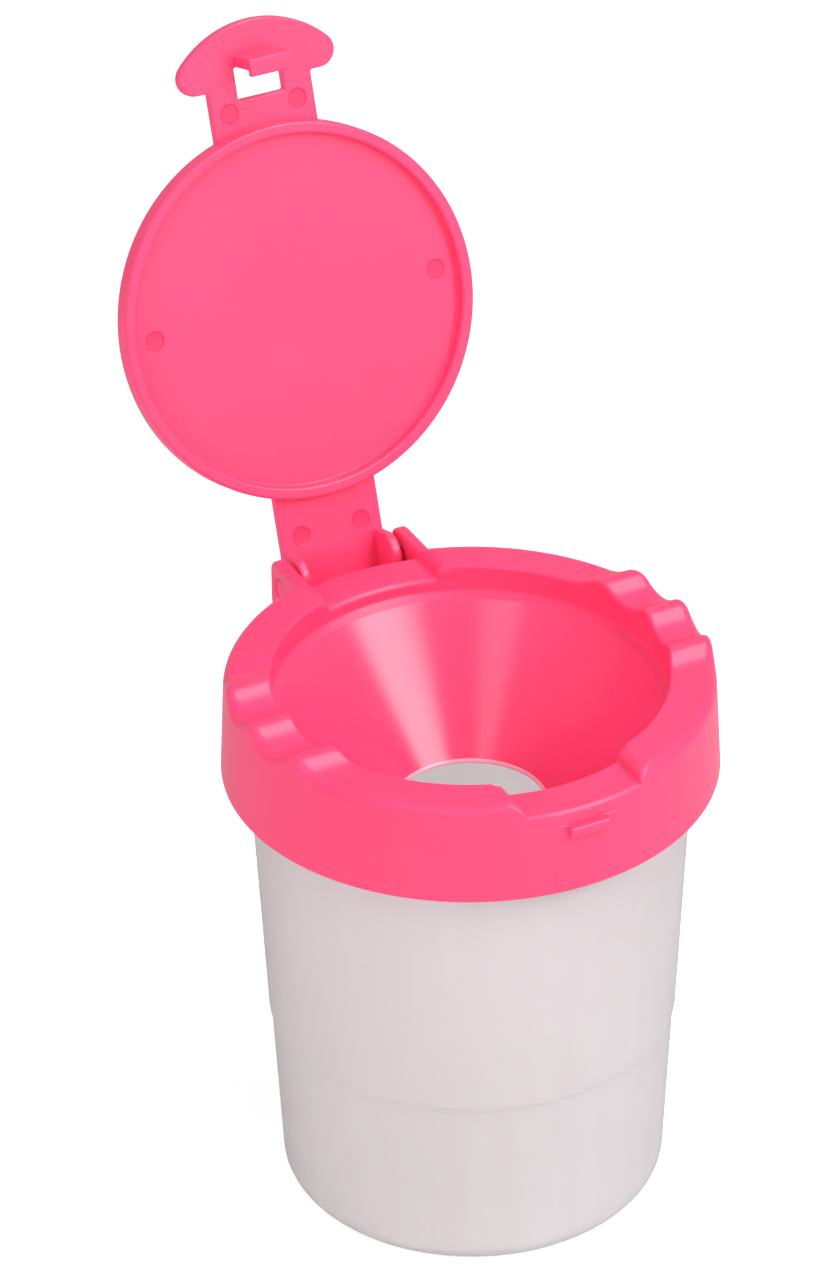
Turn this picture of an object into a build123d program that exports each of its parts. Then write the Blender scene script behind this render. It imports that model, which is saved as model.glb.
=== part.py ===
from build123d import *
import os
from math import acos, cos, sin, sqrt

# Non-spill paint cup: a tapered beaker, a funnel collar that pushes over its mouth,
# and a cover hinged at the collar's back that latches over a lug at its front.
# Millimetres, +Z up. The origin is the centre of the face the cup stands on.
# -Y is the front, with the lug, and +Y the back, with the hinge.

# Cup
cup_height = 95.2
cup_base_radius = 33.1
cup_mouth_radius = 38.15
cup_wall = 1.2
cup_floor = 1.4
cup_base_round = 3.2
cup_inner_round = 2.0
step_height = 33.8
step_depth = 0.35
lip_reach = 0.8
lip_height = 2.2
lip_round = 0.5

# Collar and rim
collar_height = 17.7
collar_draft = 0.9
collar_wall = 1.7
collar_hem_round = 0.5
skirt_clearance = 1.45
rim_wall = 1.8
rim_round = 2.0
opening_draft = 0.1
opening_round = 0.6

# Funnel, which hangs into the cup from a narrow ledge inside the opening
ledge_width = 1.6
ledge_depth = 5.6
ledge_rise = 0.4
ledge_round = 0.5
funnel_wall = 1.4
funnel_depth = 20.2
hole_radius = 13.7
hole_lip = 1.2
hole_round = 0.5

# Plug ring under the rim, which seals inside the cup's mouth, and the pocket inside it
plug_clearance = 0.3
plug_wall = 1.2
pocket_width = 0.65
plug_depth = 4.5
plug_round = 0.4

# Brush rests: rounded ridges across both sides of the rim
ridge_count = 3
ridge_pitch = 12.0
ridge_height = 2.0
ridge_crest_radius = 3.0
ridge_end_round = 1.2

# Notches in the rim, at the front for the tab and at the back for the strap
notch_depth = 2.3
notch_gap = 0.8
notch_shoulder_round = 1.5
notch_corner_round = 0.4

# Catch lug on the front of the collar
lug_width = 7.3
lug_height = 1.9
lug_reach = 1.1
lug_drop = 3.8
lug_round = 0.3

# Hinge, whose axis runs along X behind the collar
hinge_clearance = 4.2
hinge_drop = 5.7
pin_radius = 1.7
pin_clearance = 0.05
pin_recess = 0.2
ear_thickness = 2.4
ear_set_down = 1.0
ear_back = 3.7
ear_below = 4.8
ear_slope = 6.0
ear_round = 2.4
ear_root = 2.5

# Cover: a disc with a bead round its underside, between the strap and the tab
open_angle = 107.6
strap_width = 19.3
strap_thickness = 1.8
strap_tail = 3.4
strap_round = 0.4
cover_rest_gap = 0.1
cover_side_gap = 0.5
disc_forward = 0.35
disc_set_down = 0.5
disc_edge_round = 0.5
disc_recess = 1.9
bead_drop = 2.4
bead_width = 2.1
bead_round = 0.5
recess_corner_round = 0.3

# Cheeks under the strap's end, which carry the pins and the stop toes
cheek_thickness = 1.8
cheek_radius = 3.6
cheek_forward = 1.3
cheek_above = 0.4
toe_height = 2.4
toe_below = 0.3
toe_gap = 0.3

# Tab, finger grip and latch hook
grip_radius = 19.2
grip_beyond = 7.7
grip_set_back = 3.3
grip_corner_round = 3.0
window_width = 8.6
window_length = 5.6
hook_width = 7.8
hook_throat = 1.14
hook_wall = 2.0
hook_drop = 6.2
hook_round = 0.3
lip_thickness = 1.1
lip_gap = 0.15

# Ejector pin marks on the cover's underside
mark_radius = 1.65
mark_depth = 0.2
disc_mark_inset = 3.9
disc_mark_offset = 1.3
tab_mark_spacing = 12.8
tab_mark_set_back = 1.9
strap_mark_spacing = 11.5
strap_mark_set_back = 7.3

# How far a cut runs past the face that it opens, and a joined body into its neighbour
overrun = 1.0
overlap = 0.4

# Heights that follow from the sizes above
notch_floor = cup_height + rim_wall
rim_top = notch_floor + notch_depth
rim_underside = rim_top - rim_wall
hem = rim_top - collar_height
ledge = rim_top - ledge_depth
ledge_back = ledge + ledge_rise
funnel_end = ledge - funnel_depth
ridge_top = rim_top + ridge_height
hinge_height = rim_top - hinge_drop
strap_underside = notch_floor + cover_rest_gap
strap_top = strap_underside + strap_thickness
disc_top = strap_top - disc_set_down
bead_bottom = strap_underside - bead_drop
recess_height = bead_bottom + disc_recess
lug_top = rim_top - notch_depth - lug_drop + lug_height / 2
lug_bottom = lug_top - lug_height
notch_half = strap_width / 2 + notch_gap

# Radii of the collar that follow from the cup's mouth
collar_radius = cup_mouth_radius + lip_reach + skirt_clearance + collar_wall
plug_radius = cup_mouth_radius - cup_wall - plug_clearance
plug_inside = plug_radius - plug_wall
opening_radius = plug_inside - pocket_width - funnel_wall
ledge_radius = opening_radius - ledge_width
hinge_reach = collar_radius + hinge_clearance


def cup_outside(z):
    """Outer radius of the cup's wall below the step; above it the wall is step_depth prouder."""
    rise = cup_mouth_radius - step_depth - cup_base_radius
    return cup_base_radius + rise * z / cup_height


def collar_outside(z):
    """Outer radius of the collar, which narrows towards the rim so that it leaves its mould."""
    return collar_radius - collar_draft * (z - hem) / collar_height


def opening_wall(z):
    """Radius of the short wall between the rim and the ledge."""
    return opening_radius - opening_draft * (rim_top - z) / (rim_top - ledge_back)


def recess_radius():
    """Radius of the cover's recess, inside the bead."""
    return opening_wall(bead_bottom) - cover_side_gap - bead_width


def turned(corners):
    """Solid of revolution about Z from (radius, height, round) corners."""
    path = FilletPolyline(
        *[(radius, z) for radius, z, _ in corners],
        radius=[rounding for _, _, rounding in corners],
        close=True,
    )
    return revolve(Plane.XZ * make_face(path), Axis.Z)


def across(corners, x_from, x_to):
    """Prism along X from (y, z, round) corners."""
    path = FilletPolyline(
        *[(y, z) for y, z, _ in corners],
        radius=[rounding for _, _, rounding in corners],
        close=True,
    )
    return extrude(Plane.YZ.offset(x_from) * make_face(path), x_to - x_from)


def block(x_from, x_to, y_from, y_to, z_from, z_to):
    """Box between two limits along each axis."""
    centre = ((x_from + x_to) / 2, (y_from + y_to) / 2, (z_from + z_to) / 2)
    return Pos(*centre) * Box(x_to - x_from, y_to - y_from, z_to - z_from)


def mitre(corner, before, after, wall):
    """Corner of a wall's far side, where the near side turns at corner between before and after."""
    corner, before, after = Vector(*corner), Vector(*before), Vector(*after)
    first = (corner - before).normalized().rotate(Axis.Z, 90)
    second = (after - corner).normalized().rotate(Axis.Z, 90)
    out = corner + (first + second) * (wall / (1 + first.dot(second)))
    return out.X, out.Y


def cup():
    """Beaker with a small step round its wall and a lip at its mouth."""
    above_step = cup_outside(step_height) + step_depth
    lip_root = cup_height - lip_height
    lip_radius = cup_mouth_radius + lip_reach
    corners = [
        (0, 0, 0),
        (cup_base_radius, 0, cup_base_round),
        (cup_outside(step_height - step_depth), step_height - step_depth, 0),
        (above_step, step_height, 0),
        (cup_outside(lip_root - lip_reach) + step_depth, lip_root - lip_reach, 0),
        (lip_radius, lip_root, lip_round),
        (lip_radius, cup_height, lip_round),
        (cup_mouth_radius - cup_wall, cup_height, lip_round),
        (cup_base_radius - cup_wall, cup_floor, cup_inner_round),
        (0, cup_floor, 0),
    ]
    return turned(corners)


def rim_ring(z_from, z_to, outer_round):
    """Ring between the opening and the collar's outside, with its top edges rounded."""
    corners = [
        (opening_wall(z_from), z_from, 0),
        (collar_outside(z_from), z_from, 0),
        (collar_outside(z_to), z_to, outer_round),
        (opening_wall(z_to), z_to, opening_round),
    ]
    return turned(corners)


def collar_shell():
    """Skirt, rim, plug ring and funnel in one turned section."""
    rim_edge = (opening_radius, rim_top)
    corner = (opening_wall(ledge_back), ledge_back)
    crease = (ledge_radius, ledge)
    hole_edge = (hole_radius, funnel_end)
    hole_end = (hole_radius, funnel_end - hole_lip)
    back_of_corner = mitre(corner, rim_edge, crease, funnel_wall)
    back_of_crease = mitre(crease, corner, hole_edge, funnel_wall)
    back_of_hole = mitre(hole_edge, crease, hole_end, funnel_wall)
    corners = [
        (collar_radius, hem, collar_hem_round),
        (collar_outside(rim_top), rim_top, rim_round),
        (*rim_edge, opening_round),
        (*corner, ledge_round),
        (*crease, 0),
        (*hole_edge, hole_round),
        (*hole_end, 0),
        (hole_radius + funnel_wall, hole_end[1], 0),
        (*back_of_hole, 0),
        (*back_of_crease, 0),
        (*back_of_corner, 0),
        (opening_wall(rim_underside) + funnel_wall, rim_underside, 0),
        (plug_inside, rim_underside, 0),
        (plug_inside, cup_height - plug_depth, plug_round),
        (plug_radius, cup_height - plug_depth, plug_round),
        (plug_radius, cup_height, 0),
        (cup_mouth_radius, cup_height, 0),
        (cup_mouth_radius, rim_underside, 0),
        (collar_outside(rim_underside) - collar_wall, rim_underside, 0),
        (collar_radius - collar_wall, hem, 0),
    ]
    return turned(corners)


def brush_rests():
    """Ridges along X over both sides of the rim, joined to each other by hollows that hold a brush."""
    half = ridge_pitch / 2
    radii = (half**2 + ridge_height**2) / (2 * ridge_height)
    hollow_radius = radii - ridge_crest_radius
    turn = acos(1 - ridge_height / radii)
    root = rim_top - overlap

    def hollow(angle):
        return hollow_radius * sin(angle), rim_top + hollow_radius * (1 - cos(angle))

    bend_run, bend_height = hollow(turn)
    mid_run, mid_height = hollow(turn / 2)
    end = ridge_count * half
    outline = [Polyline((end, rim_top), (end, root), (-end, root), (-end, rim_top))]
    for number in range(ridge_count):
        back = end - number * ridge_pitch
        crest, front = back - half, back - ridge_pitch
        back_bend = (back - bend_run, bend_height)
        front_bend = (front + bend_run, bend_height)
        outline += [
            ThreePointArc((back, rim_top), (back - mid_run, mid_height), back_bend),
            ThreePointArc(back_bend, (crest, ridge_top), front_bend),
            ThreePointArc(front_bend, (front + mid_run, mid_height), (front, rim_top)),
        ]
    face = Plane.YZ.offset(-collar_radius) * make_face(outline)
    ring = rim_ring(rim_underside, ridge_top, ridge_end_round)
    return extrude(face, 2 * collar_radius) & ring


def notch_tray(side):
    """Solid seat under a notch, on the front side (-1) or the back side (1)."""
    half = notch_half + rim_wall
    reach = side * collar_radius
    column = block(-half, half, min(0, reach), max(0, reach), cup_height, rim_top)
    return column & rim_ring(cup_height, rim_top, rim_round)


def notch_cut(side):
    """Room for the tab or the strap, with rounded shoulders on the rim's edge."""
    shoulder = notch_half + notch_shoulder_round
    wall_top = rim_top - notch_shoulder_round
    outline = [
        FilletPolyline(
            (-notch_half, wall_top),
            (-notch_half, notch_floor),
            (notch_half, notch_floor),
            (notch_half, wall_top),
            radius=notch_corner_round,
        ),
        RadiusArc((notch_half, wall_top), (shoulder, rim_top), notch_shoulder_round),
        Polyline(
            (shoulder, rim_top),
            (shoulder, rim_top + overrun),
            (-shoulder, rim_top + overrun),
            (-shoulder, rim_top),
        ),
        RadiusArc((-shoulder, rim_top), (-notch_half, wall_top), notch_shoulder_round),
    ]
    face = Plane.XZ * make_face(outline)
    return extrude(face, -side * (collar_radius + overrun))


def ears():
    """Two plates that carry the notch's walls backwards and hold the hinge pins."""
    back = hinge_reach + ear_back
    top = rim_top - ear_set_down
    foot = hinge_height - ear_below
    root = opening_radius + ear_root
    skirt_inside = turned(
        [
            (0, hem - overrun, 0),
            (collar_radius - collar_wall, hem - overrun, 0),
            (collar_outside(rim_underside) - collar_wall, rim_underside, 0),
            (0, rim_underside, 0),
        ]
    )
    corners = [
        (root, top, 0),
        (back, top, ear_round),
        (back, foot, ear_round),
        (collar_radius - collar_wall, foot - ear_slope, 0),
        (root, foot - ear_slope, 0),
    ]
    plates = []
    for side in (-1, 1):
        near, far = side * notch_half, side * (notch_half + ear_thickness)
        plates.append(across(corners, min(near, far), max(near, far)) - skirt_inside)
    return plates


def lug_face():
    """How far forward the lug's front face stands."""
    return collar_outside(lug_bottom) + lug_reach


def lug():
    """Catch on the front of the collar that the cover's hook closes over."""
    outer = lug_face()
    inner = collar_outside(lug_top) - collar_wall / 2
    corners = [
        (-inner, lug_bottom, 0),
        (-inner, lug_top, 0),
        (-outer, lug_top, lug_round),
        (-outer, lug_bottom, lug_round),
    ]
    return across(corners, -lug_width / 2, lug_width / 2)


def hinge_rod(radius, x_from, x_to):
    """Cylinder about the hinge axis."""
    centre = ((x_from + x_to) / 2, hinge_reach, hinge_height)
    return Pos(*centre) * Rot(0, 90, 0) * Cylinder(radius, abs(x_to - x_from))


def collar_lid():
    """Collar, rim and funnel as one moulding, with brush rests, notches, ears and lug."""
    body = collar_shell() + notch_tray(-1) + notch_tray(1) + ears() + lug()
    body = body - notch_cut(-1) - notch_cut(1)
    body = body + brush_rests()
    outside = notch_half + ear_thickness + overrun
    return body - hinge_rod(pin_radius + pin_clearance, -outside, outside)


def cover_disc():
    """Solid disc that fills the opening, before its underside is recessed."""
    corners = [
        (0, bead_bottom, 0),
        (opening_wall(bead_bottom) - cover_side_gap, bead_bottom, bead_round),
        (opening_wall(disc_top) - cover_side_gap, disc_top, disc_edge_round),
        (0, disc_top, 0),
    ]
    return Pos(0, -disc_forward) * turned(corners)


def cover_recess():
    """Hollow that leaves the bead standing round the disc's underside."""
    radius = recess_radius()
    depth = recess_height - bead_bottom
    corners = [
        (0, bead_bottom - overrun, 0),
        (radius + bead_round, bead_bottom - overrun, 0),
        (radius + bead_round, bead_bottom, bead_round),
        (radius, bead_bottom + depth / 2, bead_round),
        (radius, recess_height, recess_corner_round),
        (0, recess_height, 0),
    ]
    return Pos(0, -disc_forward) * turned(corners)


def window_end():
    """Outer edge of the tab's window, in line with the hook's inner face."""
    return lug_face() + hook_throat


def strap_and_tab():
    """Flat strip through the disc, from the hinge to a half-moon finger grip."""
    grip_start = window_end() - grip_set_back
    grip_centre = window_end() + grip_beyond - grip_radius
    strip = Pos(0, (hinge_reach + strap_tail - grip_start) / 2) * Rectangle(
        strap_width, hinge_reach + strap_tail + grip_start
    )
    beyond = Pos(0, -grip_start - grip_radius) * Rectangle(
        2 * grip_radius, 2 * grip_radius
    )
    moon = Pos(0, -grip_centre) * Circle(grip_radius) & beyond
    moon = fillet(moon.vertices(), grip_corner_round)
    window = Pos(0, window_length / 2 - window_end()) * Rectangle(
        window_width, window_length
    )
    plate = extrude(Plane.XY.offset(strap_underside) * (strip + moon), strap_thickness)
    rim = plate.faces().sort_by(Axis.Z)
    edges = rim[0].outer_wire().edges() + rim[-1].outer_wire().edges()
    plate = fillet(edges, strap_round)
    cut = extrude(Plane.XY.offset(strap_underside - overrun) * window, strap_thickness + 2 * overrun)
    return plate - cut


def latch_hook():
    """Plate down from the window's outer edge, with a lip that turns in under the lug."""
    inner = window_end()
    outer = inner + hook_wall
    lip_end = lug_face() + lip_gap
    bottom = strap_underside - hook_drop
    corners = [
        (-inner, strap_underside + overlap, 0),
        (-inner, bottom + lip_thickness, hook_round),
        (-lip_end, bottom + lip_thickness, hook_round),
        (-lip_end, bottom, hook_round),
        (-outer, bottom, hook_round),
        (-outer, strap_underside + overlap, 0),
    ]
    return across(corners, -hook_width / 2, hook_width / 2)


def cheeks():
    """Lobes under the strap's end with a pin each, and a toe that stops against the collar."""
    lobe_y = hinge_reach - cheek_forward
    lobe_z = hinge_height + cheek_above
    web = Pos(lobe_y, (lobe_z + strap_underside + overlap) / 2) * Rectangle(
        2 * cheek_radius, strap_underside + overlap - lobe_z
    )
    lobe = Pos(lobe_y, lobe_z) * Circle(cheek_radius)
    inside = strap_width / 2 - cheek_thickness
    wall = sqrt(collar_outside(hinge_height) ** 2 - inside**2)
    toe_reach = hinge_reach - wall - toe_gap
    toe = (
        Pos(hinge_reach, hinge_height)
        * Rot(0, 0, open_angle)
        * Pos(-toe_reach / 2, -toe_below - toe_height / 2)
        * Rectangle(toe_reach, toe_height)
    )
    profile = web + lobe + toe
    solids = []
    for side in (-1, 1):
        near = side * inside
        far = side * strap_width / 2
        pin_end = side * (notch_half + ear_thickness - pin_recess)
        cheek = extrude(Plane.YZ.offset(near) * profile, far - near)
        solids.append(cheek + hinge_rod(pin_radius, near, pin_end))
    return solids


def ejector_marks():
    """Shallow round prints that the mould's pins leave on the underside."""
    disc_mark_spacing = 2 * (recess_radius() - disc_mark_inset)
    tab_mark_reach = window_end() - window_length - tab_mark_set_back
    strap_mark_reach = hinge_reach - strap_mark_set_back
    marks = []
    for spacing, y, z in (
        (disc_mark_spacing, -disc_mark_offset, recess_height),
        (tab_mark_spacing, -tab_mark_reach, strap_underside),
        (strap_mark_spacing, strap_mark_reach, strap_underside),
    ):
        for side in (-1, 1):
            centre = (side * spacing / 2, y, z)
            marks.append(Pos(*centre) * Cylinder(mark_radius, 2 * mark_depth))
    return marks


def hinged_cover():
    """Cover as one moulding, built closed and then swung open about the hinge axis."""
    body = cover_disc() + strap_and_tab() - cover_recess()
    body = body + latch_hook() + cheeks() - ejector_marks()
    hinge = Axis((0, hinge_reach, hinge_height), (1, 0, 0))
    return body.rotate(hinge, -open_angle)


pieces = {
    "cup": cup(),
    "collar_lid": collar_lid(),
    "hinged_cover": hinged_cover(),
}

os.makedirs("parts", exist_ok=True)
for name, solid in pieces.items():
    export_step(solid, f"parts/{name}.step")
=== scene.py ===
import math

import bpy
import numpy as np
from mathutils import Matrix, Vector
from mathutils.geometry import tessellate_polygon


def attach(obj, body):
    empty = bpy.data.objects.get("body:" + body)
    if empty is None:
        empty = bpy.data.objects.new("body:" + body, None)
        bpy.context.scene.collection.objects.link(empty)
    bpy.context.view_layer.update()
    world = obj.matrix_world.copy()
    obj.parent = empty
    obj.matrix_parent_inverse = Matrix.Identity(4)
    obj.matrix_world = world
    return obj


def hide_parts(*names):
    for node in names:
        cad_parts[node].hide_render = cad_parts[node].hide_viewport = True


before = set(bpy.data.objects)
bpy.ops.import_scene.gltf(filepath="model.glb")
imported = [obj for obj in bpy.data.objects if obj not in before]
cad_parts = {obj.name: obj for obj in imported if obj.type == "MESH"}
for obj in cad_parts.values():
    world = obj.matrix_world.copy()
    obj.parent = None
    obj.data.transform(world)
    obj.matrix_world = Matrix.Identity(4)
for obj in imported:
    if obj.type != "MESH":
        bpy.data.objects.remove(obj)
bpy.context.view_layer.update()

# Cup
# The beaker is one turned moulding in natural polypropylene, which is milky because nothing colours it.
# It has a small step a third of the way up, a lip hidden under the collar, and a flat base.
# Sizes here and below are millimetres, and each mesh is made in metres.
mm = 0.001
cup_height = 95.2
cup_base_radius = 33.1
cup_mouth_radius = 38.15
cup_wall = 1.2
cup_floor = 1.4
cup_base_round = 3.2
cup_inner_round = 2.0
step_height = 33.8
step_depth = 0.35
step_round = 0.2
lip_reach = 0.8
lip_height = 2.2
lip_root_round = 0.3
lip_round = 0.5
merge_distance = 0.002


def add(tree, kind, inputs=None, **settings):
    """Adds one node to a tree: settings are its own values, and inputs are values or sockets to link."""
    node = tree.nodes.new(kind)
    for name, value in settings.items():
        setattr(node, name, value)
    for name, value in (inputs or {}).items():
        if isinstance(value, bpy.types.NodeSocket):
            tree.links.new(value, node.inputs[name])
        else:
            node.inputs[name].default_value = value
    return node


def linear(code):
    """Linear colour, with alpha, of an sRGB hex code."""
    channels = [int(code[i : i + 2], 16) / 255 for i in (1, 3, 5)]
    return [c / 12.92 if c <= 0.04045 else ((c + 0.055) / 1.055) ** 2.4 for c in channels] + [1]


def turned_tree():
    """Node tree that rounds an outline's corners and spins it about Z."""
    tree = bpy.data.node_groups.new("Turned moulding", "GeometryNodeTree")
    for name, kind in (
        ("Outline", "NodeSocketGeometry"),
        ("Steps around", "NodeSocketInt"),
        ("Steps in a round", "NodeSocketInt"),
        ("Longest run", "NodeSocketFloat"),
        ("Spin radius", "NodeSocketFloat"),
        ("Material", "NodeSocketMaterial"),
    ):
        tree.interface.new_socket(name, in_out="INPUT", socket_type=kind)
    tree.interface.new_socket("Moulding", in_out="OUTPUT", socket_type="NodeSocketGeometry")
    given = add(tree, "NodeGroupInput").outputs
    line = add(tree, "GeometryNodeMeshToCurve", {"Mesh": given["Outline"]})
    rounds = add(tree, "GeometryNodeInputNamedAttribute", {"Name": "round"}, data_type="FLOAT")
    filleted = add(
        tree,
        "GeometryNodeFilletCurve",
        {"Curve": line.outputs[0], "Count": given["Steps in a round"], "Radius": rounds.outputs[0]},
        mode="POLY",
    )
    here = add(tree, "GeometryNodeInputPosition").outputs[0]
    index = add(tree, "GeometryNodeInputIndex").outputs[0]
    after = add(tree, "ShaderNodeMath", {0: index, 1: 1.0}, operation="ADD").outputs[0]
    there = add(tree, "GeometryNodeFieldAtIndex", {"Index": after, "Value": here}, data_type="FLOAT_VECTOR")
    run = add(tree, "ShaderNodeVectorMath", {0: here, 1: there.outputs[0]}, operation="DISTANCE")
    length = run.outputs["Value"]
    cuts = add(tree, "ShaderNodeMath", {0: length, 1: given["Longest run"]}, operation="DIVIDE").outputs[0]
    divided = add(tree, "GeometryNodeSubdivideCurve", {"Curve": filleted.outputs[0], "Cuts": cuts})
    inward = add(tree, "ShaderNodeMath", {0: given["Spin radius"], 1: -1.0}, operation="MULTIPLY")
    shift = add(tree, "ShaderNodeCombineXYZ", {"X": inward.outputs[0]})
    section = add(
        tree, "GeometryNodeTransform", {"Geometry": divided.outputs[0], "Translation": shift.outputs[0]}
    )
    circle = add(
        tree,
        "GeometryNodeCurvePrimitiveCircle",
        {"Resolution": given["Steps around"], "Radius": given["Spin radius"]},
    )
    spun = add(
        tree, "GeometryNodeCurveToMesh", {"Curve": circle.outputs[0], "Profile Curve": section.outputs[0]}
    )
    closed = add(
        tree,
        "GeometryNodeMergeByDistance",
        {"Geometry": spun.outputs[0], "Distance": merge_distance * mm},
    )
    outward = add(tree, "GeometryNodeFlipFaces", {"Mesh": closed.outputs[0]})
    smooth = add(tree, "GeometryNodeSetShadeSmooth", {"Geometry": outward.outputs[0]})
    real = add(tree, "GeometryNodeRealizeInstances", {"Geometry": smooth.outputs[0]})
    painted = add(
        tree, "GeometryNodeSetMaterial", {"Geometry": real.outputs[0], "Material": given["Material"]}
    )
    add(tree, "NodeGroupOutput", {"Moulding": painted.outputs[0]})
    return tree


turning = turned_tree()


def turned(name, corners, material, steps_around=224, steps_in_round=7, longest_run=1.5, spin_radius=20.0):
    """Solid of revolution about Z from (radius, height, round) corners, as a plain mesh object."""
    line = bpy.data.meshes.new(name + "_outline")
    points = [(radius * mm, -height * mm, 0) for radius, height, _ in corners]
    line.from_pydata(points, [(i, i + 1) for i in range(len(points) - 1)], [])
    rounds = line.attributes.new("round", "FLOAT", "POINT")
    rounds.data.foreach_set("value", [rounding * mm for _, _, rounding in corners])
    source = bpy.data.objects.new(name + "_outline", line)
    bpy.context.scene.collection.objects.link(source)
    spin = source.modifiers.new("Turned moulding", "NODES")
    spin.node_group = turning
    values = {
        "Steps around": steps_around,
        "Steps in a round": steps_in_round,
        "Longest run": longest_run * mm,
        "Spin radius": spin_radius * mm,
        "Material": material,
    }
    for item in turning.interface.items_tree:
        if item.name in values:
            spin[item.identifier] = values[item.name]
    result = source.evaluated_get(bpy.context.evaluated_depsgraph_get())
    mesh = bpy.data.meshes.new_from_object(result)
    mesh.name = name
    bpy.data.objects.remove(source)
    piece = bpy.data.objects.new(name, mesh)
    bpy.context.scene.collection.objects.link(piece)
    return piece


def fit(piece, body, sharp_angle=38):
    """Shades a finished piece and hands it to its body."""
    piece.data.set_sharp_from_angle(angle=math.radians(sharp_angle))
    weights = piece.modifiers.new("Flat faces stay flat", "WEIGHTED_NORMAL")
    weights.keep_sharp = True
    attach(piece, body)


# Natural polypropylene, moulded: soft and milky, a little light goes through it, satin outside.
streak_spacing = 5.9
streak_length = 111
natural_grain = 0.9
natural_grain_depth = 0.05
natural_scatter = 3.0
natural = bpy.data.materials.new("natural_polypropylene")
natural.use_nodes = True
tree = natural.node_tree
tree.nodes.clear()
place = add(tree, "ShaderNodeTexCoord").outputs["Object"]
# The melt flows up from a gate in the base, so its streaks run up the wall.
across, along = 1 / (streak_spacing * mm), 1 / (streak_length * mm)
upwards = add(tree, "ShaderNodeMapping", {"Vector": place, "Scale": (across, across, along)})
streaks = add(tree, "ShaderNodeTexNoise", {"Vector": upwards.outputs[0], "Scale": 1.0, "Detail": 3.0})
shade = add(
    tree,
    "ShaderNodeMix",
    {"Factor": streaks.outputs[0], "A": linear("#F7E9ED"), "B": linear("#FDF3F6")},
    data_type="RGBA",
)
# Inside, the wall and base are painted whiter and a touch greener: painted light, which offsets the pink
# tint of the light that comes in past the collar.
sides = add(tree, "ShaderNodeSeparateXYZ", {"Vector": place})
flat = add(tree, "ShaderNodeCombineXYZ", {"X": sides.outputs["X"], "Y": sides.outputs["Y"]})
radius = add(tree, "ShaderNodeVectorMath", {0: flat.outputs[0]}, operation="LENGTH").outputs["Value"]
taper = (cup_mouth_radius - cup_base_radius) / cup_height
middle = add(
    tree,
    "ShaderNodeMath",
    {0: sides.outputs["Z"], 1: taper, 2: (cup_base_radius - cup_wall / 2) * mm},
    operation="MULTIPLY_ADD",
)
inner = add(tree, "ShaderNodeMath", {0: radius, 1: middle.outputs[0]}, operation="LESS_THAN")
shade = add(
    tree,
    "ShaderNodeMix",
    {"Factor": inner.outputs[0], "A": shade.outputs["Result"], "B": linear("#FCFFFE")},
    data_type="RGBA",
)
grain = add(
    tree, "ShaderNodeTexNoise", {"Vector": place, "Scale": 1 / (natural_grain * mm), "Detail": 4.0}
)
relief = add(
    tree,
    "ShaderNodeBump",
    {"Height": grain.outputs[0], "Strength": 0.05, "Distance": natural_grain_depth * mm},
)
plastic = add(
    tree,
    "ShaderNodeBsdfPrincipled",
    {
        "Base Color": shade.outputs["Result"],
        "Roughness": 0.36,
        "IOR": 1.49,
        "Subsurface Weight": 0.7,
        "Subsurface Radius": (1.0, 0.95, 0.95),
        "Subsurface Scale": natural_scatter * mm,
        "Transmission Weight": 0.5,
        "Normal": relief.outputs[0],
    },
)
add(tree, "ShaderNodeOutputMaterial", {"Surface": plastic.outputs[0]})


def cup_outside(height):
    """Outer radius of the cup's wall below the step."""
    return cup_base_radius + (cup_mouth_radius - step_depth - cup_base_radius) * height / cup_height


lip_root = cup_height - lip_height
cup = turned(
    "cup_moulding",
    [
        (0, 0, 0),
        (cup_base_radius, 0, cup_base_round),
        (cup_outside(step_height - step_depth), step_height - step_depth, step_round),
        (cup_outside(step_height) + step_depth, step_height, step_round),
        (cup_outside(lip_root - lip_reach) + step_depth, lip_root - lip_reach, lip_root_round),
        (cup_mouth_radius + lip_reach, lip_root, lip_round),
        (cup_mouth_radius + lip_reach, cup_height, lip_round),
        (cup_mouth_radius - cup_wall, cup_height, lip_round),
        (cup_outside(step_height) + step_depth - cup_wall, step_height + step_depth, step_round),
        (cup_outside(step_height) - cup_wall, step_height - step_depth, step_round),
        (cup_base_radius - cup_wall, cup_floor, cup_inner_round),
        (0, cup_floor, 0),
    ],
    natural,
)
fit(cup, "cup")
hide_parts("cup")

# Collar
# The collar is one pink moulding: skirt, rim with brush rests and notches, and the funnel inside it.
# The brush rests run straight across the rim, so the mesh follows lines that are straight there too.
collar_height = 17.7
collar_draft = 0.9
collar_wall = 1.7
collar_hem_round = 0.5
hem_inner_round = 0.3
skirt_clearance = 1.45
rim_wall = 1.8
rim_round = 2.0
opening_draft = 0.1
opening_round = 0.6
ledge_width = 1.6
ledge_depth = 5.6
ledge_rise = 0.8
ledge_round = 0.8
crease_round = 0.35
funnel_wall = 1.4
funnel_depth = 21.0
hole_radius = 13.0
hole_lip = 0.4
hole_round = 0.3
hole_end_round = 0.1
funnel_end_round = 0.2
plug_clearance = 0.3
plug_wall = 1.2
pocket_width = 0.65
plug_depth = 4.5
plug_round = 0.4
ridge_count = 3
ridge_pitch = 12.0
ridge_height = 2.0
ridge_crest_radius = 3.0
ridge_end_round = 1.2
ridge_margin = 1.0
notch_depth = 2.3
notch_gap = 0.8
notch_shoulder_round = 2.0
notch_corner_round = 0.4
notch_draft = 0.2
notch_edge = 1.1
strap_width = 19.3
# In a notch the underside comes down to the seat, and this keeps the two apart, so no face is empty.
underside_step = 0.01
# The mesh's runs are no longer than these, over the rim's notches and down the funnel and skirt.
notch_run = 0.8
wall_run = 2.0

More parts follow.
